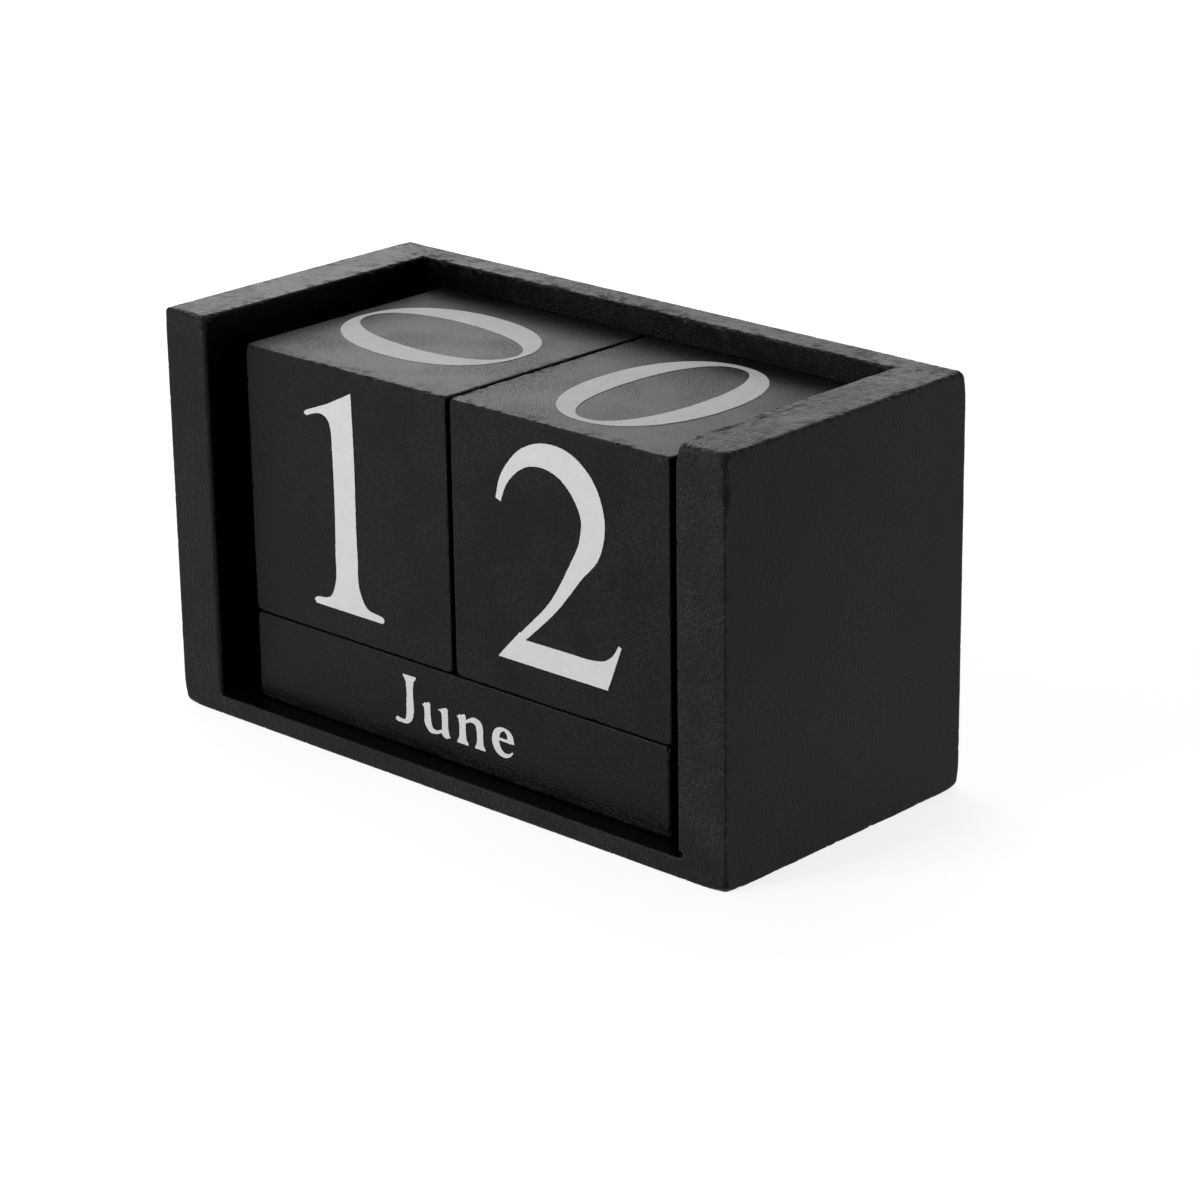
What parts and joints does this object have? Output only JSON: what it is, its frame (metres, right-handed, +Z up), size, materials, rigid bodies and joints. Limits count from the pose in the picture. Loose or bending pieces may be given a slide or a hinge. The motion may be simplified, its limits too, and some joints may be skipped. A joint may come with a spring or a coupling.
{
  "type": "desk calendar",
  "caption": "Perpetual desk calendar: a black painted wooden case, open at front and top, with loose numbered day cubes standing on loose month bars.",
  "frame": {"origin": "middle of the case's footprint, on the surface that it stands on", "axes": "+X to the right as the calendar is read, +Y from the open front to the back panel, +Z up"},
  "size_m": [0.097, 0.045, 0.055],
  "materials": {
    "case_paint": "matte black paint on fibreboard",
    "block_paint": "matte black paint on fibreboard",
    "pin_steel": "bright drawn wire",
    "white_print": "matte white screen print on painted wood"
  },
  "bodies": {
    "case": {"base_board": "case_paint", "left_side_panel": "case_paint", "right_side_panel": "case_paint", "back_panel": "case_paint", "back_panel_pins": "pin_steel", "base_pins": "pin_steel"},
    "left_cube": {"left_day_cube": "block_paint"},
    "right_cube": {"right_day_cube": "block_paint"},
    "rear_bar": {"rear_month_bar": "block_paint"},
    "middle_bar": {"middle_month_bar": "block_paint"},
    "front_bar": {"front_month_bar": "block_paint"}
  },
  "joints": [
    {"name": "left_cube_lift", "type": "slide", "parent": "case", "child": "left_cube", "axis": [0, 0, 1], "range_m": [0, 0.048]},
    {"name": "right_cube_lift", "type": "slide", "parent": "case", "child": "right_cube", "axis": [0, 0, 1], "range_m": [0, 0.048]},
    {"name": "rear_bar_pull", "type": "slide", "parent": "case", "child": "rear_bar", "axis": [0, -1, 0], "range_m": [0, 0.046]},
    {"name": "middle_bar_pull", "type": "slide", "parent": "rear_bar", "child": "middle_bar", "axis": [0, -1, 0], "range_m": [0, 0.034]},
    {"name": "front_bar_pull", "type": "slide", "parent": "middle_bar", "child": "front_bar", "axis": [0, -1, 0], "range_m": [0, 0.022]}
  ]
}
